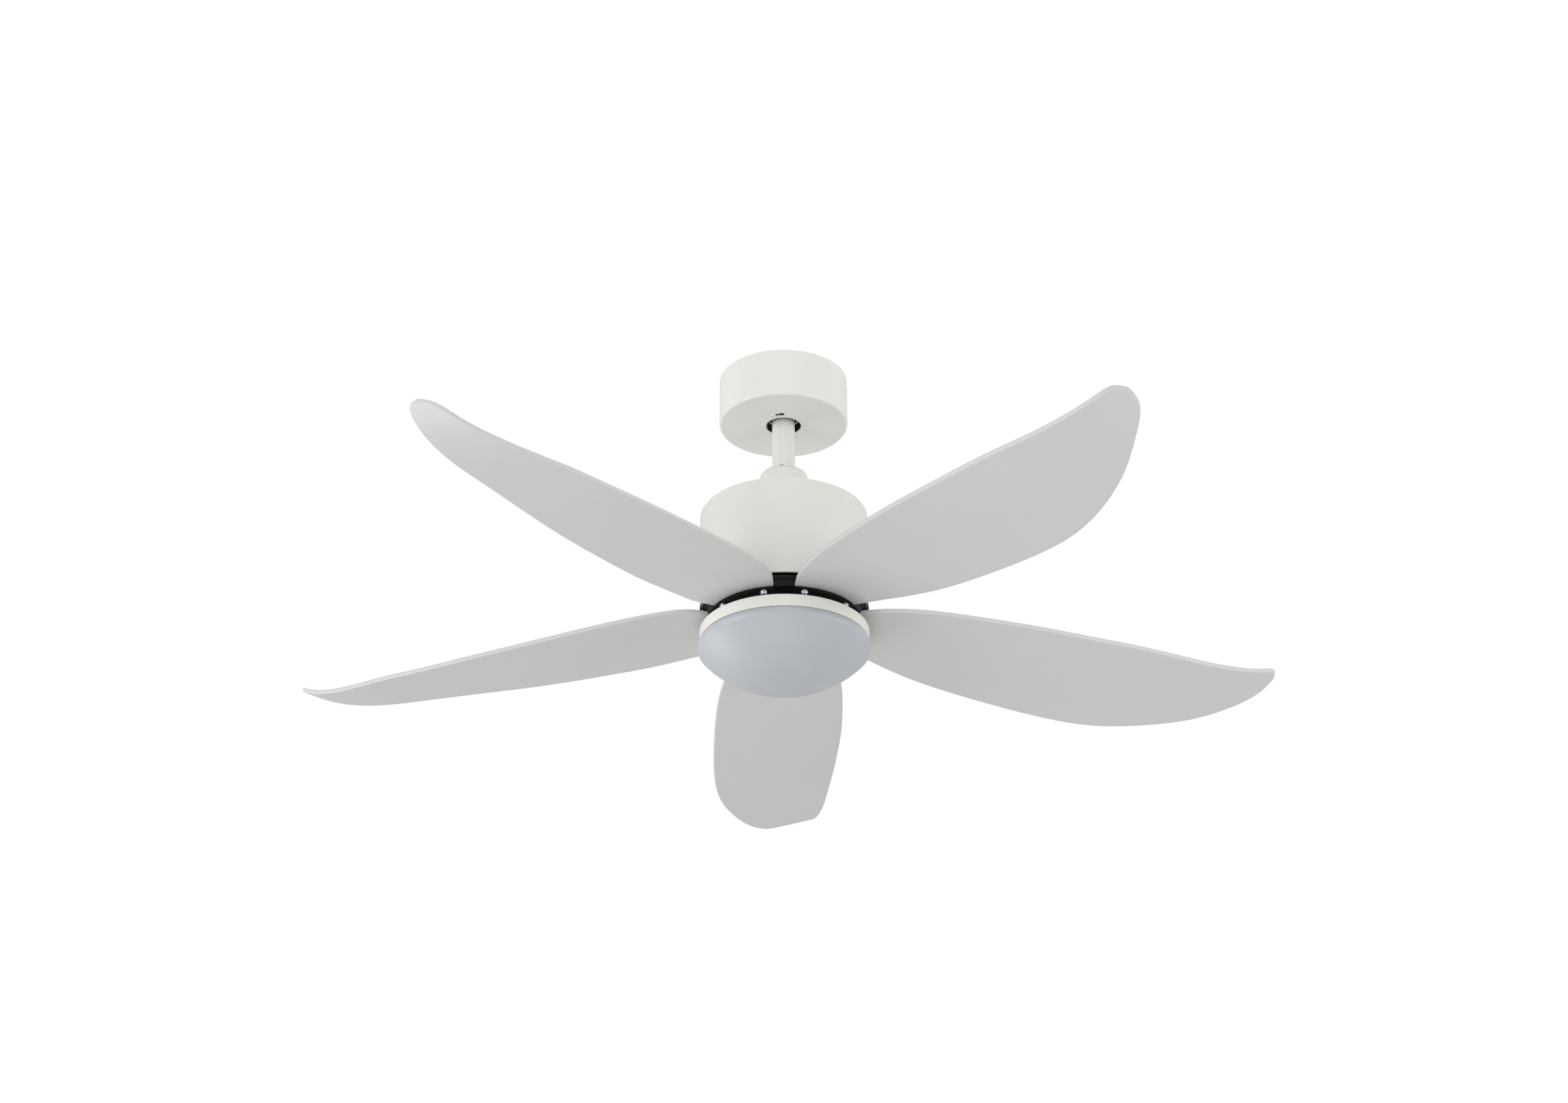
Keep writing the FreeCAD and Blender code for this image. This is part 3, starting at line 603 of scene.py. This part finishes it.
cover_foot, cover_top = -0.180, -0.125
cover_radius = 0.028
cover_wall = 0.0015
cover_hole = rod_radius + 0.0005
cover = turn("coupling_cup", rounded([
    (cover_hole, cover_top, 0.0005), (cover_radius, cover_top, 0.0070),
    (cover_radius, cover_foot, 0.0003), (cover_radius - cover_wall, cover_foot, 0.0003),
    (cover_radius - cover_wall, cover_top - cover_wall, 0.0055),
    (cover_hole, cover_top - cover_wall, 0.0005)], 14), 128)
put(cover, "hanging", paint, "white_paint", "coupling_cover")


# ---- motor housing ----------------------------------------------------------
# A drawn steel drum, open below, painted warm white. Its lower edge folds inwards and
# down again, so that a narrow groove shows between the wall and an inner lip.
housing_radius = 0.097
housing_top, housing_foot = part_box("motor_housing")[1].z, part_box("motor_housing")[0].z
shaft_hole = 0.0077
fold = housing_foot + 0.004
lip_foot = housing_foot + 0.0005
lip_outer, lip_inner = 0.0944, 0.0933
housing = turn("housing_drum", rounded([
    (shaft_hole, housing_top, 0.0003), (housing_radius, housing_top, 0.0050),
    (housing_radius, housing_foot, 0.0005), (housing_radius - steel, housing_foot, 0.0005),
    (housing_radius - steel, fold, 0.0002),
    (lip_outer, fold, 0.0002), (lip_outer, lip_foot, 0.0004),
    (lip_inner, lip_foot, 0.0004), (lip_inner, fold + steel, 0.0008),
    (housing_radius - steel, fold + steel, 0.0002),
    (housing_radius - steel, housing_top - steel, 0.0038),
    (shaft_hole, housing_top - steel, 0.0003)], 12), 256)
put(housing, "hanging", paint, "white_paint", "motor_housing")


# ---- motor's fixed parts ----------------------------------------------------
# A hollow steel shaft carries the sleeve, the laminated core with its copper coils, and
# the inner rings of the two bearings; the control board hangs above on three posts.
def layered_finish():
    """Stacked steel sheets: thin dark lines along the axis between grey layers."""
    f = Finish("laminations")
    layers = f.add("ShaderNodeTexWave", {"wave_type": "BANDS", "bands_direction": "Z"},
                   {"Vector": f.place, "Scale": 620.0, "Distortion": 0.2}, "Fac")
    colour = f.blend(layers, (0.16, 0.16, 0.17), (0.34, 0.34, 0.35))
    return f.surface(Base_Color=colour, Metallic=1.0, Roughness=0.55 - layers * 0.12,
                     Normal=f.bump(layers, 0.0001))


def copper_finish():
    """Enamelled copper wire wound in close turns: round ridges stacked along the axis, the colour
    darkened in the grooves between them as painted shade.
    """
    f = Finish("windings")
    turns = f.add("ShaderNodeTexWave", {"wave_type": "BANDS", "bands_direction": "Z"},
                  {"Vector": f.place, "Scale": 320.0, "Distortion": 0.4}, "Fac")
    # Painted shade: the colour darkens with the bands into the grooves between turns.
    colour = f.blend(turns, (0.30, 0.10, 0.035), (0.72, 0.33, 0.13))
    return f.surface(Base_Color=colour, Metallic=0.85, Roughness=0.28 + turns * 0.1,
                     Normal=f.bump(turns, 0.0004))


def steel_finish():
    """Ground steel: fine rings of turning marks and a light oil film."""
    f = Finish("ground_steel")
    marks = f.noise(1200.0, 4.0)
    film = f.spread(f.noise(40.0), 0.0, 1.0)
    colour = f.blend(film, (0.52, 0.52, 0.53), (0.62, 0.62, 0.63))
    return f.surface(Base_Color=colour, Metallic=1.0, Roughness=f.spread(marks, 0.18, 0.32),
                     Normal=f.bump(marks, 0.00002))


ground_steel = steel_finish()
coat(ground_steel, "motor_shaft", "lower_bearing_inner", "upper_bearing_inner",
     "lower_bearing_outer", "upper_bearing_outer", "bearing_balls", "light_spacer", "shaft_nut")
coat(layered_finish(), "stator_core")
coat(copper_finish(), "stator_windings")
coat(black_plastic, "stator_sleeve")
green_board = board_finish("green_board", (0.010, 0.085, 0.035), (0.020, 0.130, 0.055))
coat(green_board, "motor_driver_board")


# ---- rotor ------------------------------------------------------------------
# Two aluminium castings painted black close round the core on the bearings. The lower
# one is the disc seen between the blade roots, with a land in each gap.
rotor_black = black_finish("rotor_black", (0.004, 0.004, 0.0045), 0.32, 0.46, 700.0)
coat(rotor_black, "rotor_lower_cover", "rotor_upper_cover")
coat(cast, "rotor_magnets")
coat(zinc, "rotor_screws", "blade_screws")


# ---- blade holders ----------------------------------------------------------
# Each blade is clamped by a black moulding: a ridged sector level with the blade's root
# and a tongue over it. Two bright screws hold it up against the rotor.
coat(black_plastic, *["blade_holder_%d" % n for n in range(1, 6)])

blade_level = -0.316
screw_circle = 0.0825
blade_angles = (-54.0, 18.0, 90.0, 162.0, 234.0)
screw_angles = [a + s * 20.0 for a in blade_angles for s in (-1, 1)]


def washer_shape(x, y, inner, outer, low, high, segments=40):
    """Points and quads of a flat ring with softened edges."""
    profile = rounded([(inner, low, 0.0001), (outer, low, 0.0002),
                       (outer, high, 0.0002), (inner, high, 0.0001)], 3)
    a = np.linspace(0, 2 * math.pi, segments, endpoint=False)[:, None]
    r, z = profile[None, :, 0], profile[None, :, 1]
    points = np.stack([x + r * np.cos(a), y + r * np.sin(a), z + 0 * a], -1).reshape(-1, 3)
    return points, quads(segments, len(profile), True, True)


def spring_washer_shape(x, y, inner, outer, low, high, steps=44):
    """Points and quads of a split ring: its ends are a hair apart, one a little lower."""
    a = math.radians(8) + np.linspace(0, math.radians(344), steps)[:, None]
    drop = (low - high) * 0.12 * np.linspace(-1, 1, steps)[:, None]
    r = np.array([inner, outer, outer, inner])[None]
    z = np.array([low, low, high, high])[None] + drop
    points = np.stack([x + r * np.cos(a), y + r * np.sin(a), z], -1).reshape(-1, 3)
    last = 4 * steps
    ends = np.array([[3, 2, 1, 0], [last - 4, last - 3, last - 2, last - 1]])
    return points, np.vstack([quads(steps, 4, False, True), ends])


holder_seat = blade_level - 0.0015
spring_foot = holder_seat - 0.0017
flat_foot = spring_foot - 0.0011
holder_heads = join_shapes("holder_screw_set", [
    screw_shape(x, y, flat_foot, 0.0040, 0.0029, 0.00185, 0.014)
    for x, y in circle_places(screw_circle, screw_angles)])
smooth(holder_heads, 40)
put(holder_heads, "rotor", plated, "chrome_screw", "holder_screws")
washers = join_shapes("holder_washer_set", [
    shape for x, y in circle_places(screw_circle, screw_angles)
    for shape in (washer_shape(x, y, 0.0020, 0.0047, flat_foot, spring_foot),
                  spring_washer_shape(x, y, 0.0020, 0.0033, spring_foot, holder_seat))])
smooth(washers, 40)
put(washers, "rotor", plated, "chrome_screw", "holder_washers")


# ---- blades -----------------------------------------------------------------
# Five like mouldings in satin white plastic. Each is a thin sheet that twists from flat
# at its root to a steady pitch, sags a little, and flicks up at the tip.
# The outline's two rails (x along the blade from the axis, y across it), root to tip.
leading = np.array([
    (0.0767, -0.0410), (0.088, -0.0475), (0.102, -0.054), (0.1155, -0.0578),
    (0.129, -0.0608), (0.180, -0.068), (0.237, -0.070), (0.300, -0.0695), (0.360, -0.066),
    (0.420, -0.061), (0.480, -0.0545), (0.540, -0.047), (0.584, -0.038), (0.602, -0.0295),
    (0.609, -0.014)])
trailing = np.array([
    (0.0767, 0.0410), (0.0875, 0.0482), (0.101, 0.056), (0.1145, 0.0615), (0.130, 0.0665),
    (0.180, 0.078), (0.237, 0.084), (0.296, 0.087), (0.355, 0.088), (0.414, 0.0835),
    (0.460, 0.074), (0.500, 0.0605), (0.540, 0.043), (0.580, 0.0215), (0.604, 0.003),
    (0.609, -0.014)])
# Stations: x in metres, the sheet's height over the root in mm, and its pitch in degrees.
stations = np.array([
    (0.070, 0, 0), (0.095, 0, 0), (0.112, -0.6, 1.0), (0.130, -1.8, 2.5), (0.180, -6.3, 5.3),
    (0.240, -11, 7.8), (0.300, -15, 9.9), (0.360, -18, 11.9), (0.420, -19.6, 13.6),
    (0.470, -20, 13.6), (0.515, -19.8, 13.6), (0.550, -16.5, 13.6), (0.580, -9.5, 13.6),
    (0.622, 10, 13.6)])
root_circle = 0.087
root_corner = 0.0410
thickness = 0.0055
edge_round = 0.0016


def spline(points, where):
    """Smooth curve through points: natural cubic pieces in the running distance between them.

    The second derivatives at the points solve the usual tridiagonal system; where is 0 to 1.
    """
    step = np.linalg.norm(np.diff(points, axis=0), axis=1)
    at = np.concatenate([[0], np.cumsum(step)])
    n = len(points)
    system = np.eye(n)
    right = np.zeros_like(points)
    slope = np.diff(points, axis=0) / step[:, None]
    for i in range(1, n - 1):
        system[i, i - 1:i + 2] = step[i - 1], 2 * (step[i - 1] + step[i]), step[i]
        right[i] = 6 * (slope[i] - slope[i - 1])
    bend = np.linalg.solve(system, right)
    t = where * at[-1]
    k = np.clip(np.searchsorted(at, t, side="right") - 1, 0, n - 2)
    h, s = step[k][:, None], (t - at[k])[:, None]
    a = (h - s) / h
    b = s / h
    return (a * points[k] + b * points[k + 1]
            + ((a ** 3 - a) * bend[k] + (b ** 3 - b) * bend[k + 1]) * h ** 2 / 6)


def blade_shape():
    """Points and quads of one blade along +X.

    Two rails, the leading and trailing edges, run from the root to the tip; points between
    them share out the chord. The middle of the sheet stands at height(x) - y tan(pitch(x)),
    and each skin leaves it by half the thickness times a quarter-ellipse of the distance
    to the outline, so that every edge is round. The root edge is bent onto its arc.
    """
    rows, columns = 170, 60
    share = 0.5 - 0.5 * np.cos(np.linspace(0, math.pi, rows))
    share = 0.55 * share + 0.45 * np.linspace(0, 1, rows)
    share[1:5] = (0.0005, 0.0013, 0.0024, 0.0040)
    across = 0.5 - 0.5 * np.cos(np.linspace(0, math.pi, columns))
    lead, trail = spline(leading, share), spline(trailing, share)
    flat = lead[:, None] * (1 - across)[None, :, None] + trail[:, None] * across[None, :, None]
    x, y = flat[..., 0], flat[..., 1]
    root_arc = np.sqrt(root_circle ** 2 - np.minimum(abs(y), root_corner) ** 2)
    bulge = root_arc - leading[0, 0]
    x = x + bulge * np.clip(1 - (x - leading[0, 0]) / 0.06, 0, 1)
    fine = np.linspace(0, 1, 900)
    rim_y = np.linspace(-root_corner, root_corner, 120)
    rim = np.vstack([spline(leading, fine), spline(trailing, fine)[::-1],
                     np.stack([np.sqrt(root_circle ** 2 - rim_y ** 2), rim_y], 1)])
    flat_points = np.stack([x, y], -1).reshape(-1, 2)
    gap = np.sqrt(((flat_points[:, None, 0] - rim[None, :, 0]) ** 2
                   + (flat_points[:, None, 1] - rim[None, :, 1]) ** 2).min(1)).reshape(x.shape)
    inside = np.clip(gap / edge_round, 0, 1)
    half = thickness / 2 * np.sqrt(1 - (1 - inside) ** 2)
    half[:, 0] = half[:, -1] = 0.0
    half[0] = half[-1] = 0.0
    course = spline(stations * (1, 0.001, 0.001), np.linspace(0, 1, 600))
    height = np.interp(x, course[:, 0], course[:, 1])
    pitch = np.radians(np.interp(x, course[:, 0], course[:, 2]) * 1000)
    middle = blade_level + thickness / 2 + height - y * np.tan(pitch)
    under = np.stack([x, y, middle - half], -1).reshape(-1, 3)
    over = np.stack([x, y, middle + half], -1).reshape(-1, 3)
    grid = quads(rows, columns)
    points = np.vstack([under, over])
    faces = np.vstack([grid, grid[:, ::-1] + len(under)])
    return points, faces


def blade_finish():
    """Satin moulded plastic: faint flow clouds along the blade and a fine even grain."""
    f = Finish("blade_plastic")
    clouds = f.spread(f.noise(5.0, 2.0), 0.0, 1.0)
    flow = f.spread(f.noise(38.0, 3.0), 0.0, 1.0)
    grain = f.noise(1400.0, 2.0)
    colour = f.blend(clouds * 0.7 + flow * 0.3, (0.685, 0.674, 0.670), (0.710, 0.700, 0.697))
    return f.surface(Base_Color=colour, Roughness=f.spread(grain, 0.40, 0.50) + flow * 0.04,
                     Coat_Weight=0.12, Coat_Roughness=0.3, Normal=f.bump(grain, 0.000025))


blade_plastic = blade_finish()
blade_points, blade_faces = blade_shape()
for index, angle in enumerate(blade_angles, 1):
    c, s = math.cos(math.radians(angle)), math.sin(math.radians(angle))
    spin = np.array([[c, s, 0], [-s, c, 0], [0, 0, 1]])
    wing = close_shape("blade_skin_%d" % index, blade_points @ spin, blade_faces)
    smooth(wing, 60)
    put(wing, "rotor", blade_plastic, "blade_plastic", "blade_%d" % index)


# ---- light pan --------------------------------------------------------------
# A pressed steel pan under the rotor, clamped on the shaft by a nut. Its painted rim is the ring
# round the lens, coated in the lighter copy of the white paint as painted light; three tabs inside
# it hold the lens up.
pan_top, pan_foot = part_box("light_pan")[1].z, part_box("light_pan")[0].z
pan_radius = 0.097
pan = turn("pan_ring", rounded([
    (0.0076, pan_top, 0.0002), (pan_radius, pan_top, 0.0016), (pan_radius, pan_foot, 0.0004),
    (pan_radius - steel, pan_foot, 0.0004), (pan_radius - steel, pan_top - steel, 0.0006),
    (0.0076, pan_top - steel, 0.0002)], 8), 256)
put(pan, "hanging", white_paint_painted_light, "white_paint", "light_pan")


# ---- lamp inside the pan ----------------------------------------------------
# A round white board with three circles of small yellow lamps, held under the pan on
# posts, and a flat driver beside the shaft.
coat(board_finish("white_board", (0.72, 0.73, 0.72), (0.80, 0.80, 0.79)), "led_board")
coat(board_finish("driver_case", (0.55, 0.55, 0.55), (0.63, 0.63, 0.62)), "led_driver")
coat(board_finish("lamp_phosphor", (0.75, 0.60, 0.12), (0.85, 0.72, 0.20)), "leds")
coat(zinc, "led_board_screws")


# ---- lens -------------------------------------------------------------------
# A moulded opal dome, a shallow sphere with a rounded edge that stands a little proud of
# the ring. It is milky all through, so it looks pale blue-grey while the lamp is off.
def lens_profile():
    """Closed profile: sphere, edge arc and rim outside, and the same set in by the wall."""
    edge, wall = 0.008, 0.002
    wide, level, foot = 0.099, -0.3513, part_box("lens")[0].z
    depth, c = level - foot, wide - edge
    ball = (c ** 2 + depth ** 2 - edge ** 2) / (2 * (depth - edge))
    middle = foot + ball
    join = math.atan2(level - middle, c)
    rim_outer, rim_inner, rim_top = 0.0930, 0.0918, -0.336
    shoulder = -0.3453

    def sweep(centre_r, centre_z, radius, start, end, steps):
        a = np.linspace(start, end, steps)
        return np.stack([centre_r + radius * np.cos(a), centre_z + radius * np.sin(a)], 1)

    lift = math.sqrt((edge - wall) ** 2 - (c - rim_inner) ** 2)
    inner_start = math.atan2(lift, rim_inner - c)
    return np.vstack([
        sweep(0, middle, ball, -math.pi / 2, join, 56),
        sweep(c, level, edge, join, math.asin((shoulder - level) / edge), 22)[1:],
        [(rim_outer, shoulder), (rim_outer, rim_top), (rim_inner, rim_top)],
        sweep(c, level, edge - wall, inner_start, join, 14),
        sweep(0, middle, ball - wall, join, -math.pi / 2, 24)[1:],
    ])


def opal_finish():
    """Opal plastic: an even milky tone with faint clouds, and a smooth skin with a soft gloss."""
    f = Finish("opal_lens")
    clouds = f.spread(f.noise(14.0, 2.0), 0.0, 1.0)
    skin = f.noise(40.0, 1.0)
    colour = f.blend(clouds, (0.500, 0.535, 0.573), (0.525, 0.558, 0.594))
    return f.surface(Base_Color=colour, Roughness=f.spread(skin, 0.40, 0.46), Coat_Weight=0.12,
                     Coat_Roughness=0.32, Normal=f.bump(skin, 0.00001))


dome = turn("lens_dome", lens_profile(), 256)
put(dome, "lens", opal_finish(), "opal_lens", "lens")
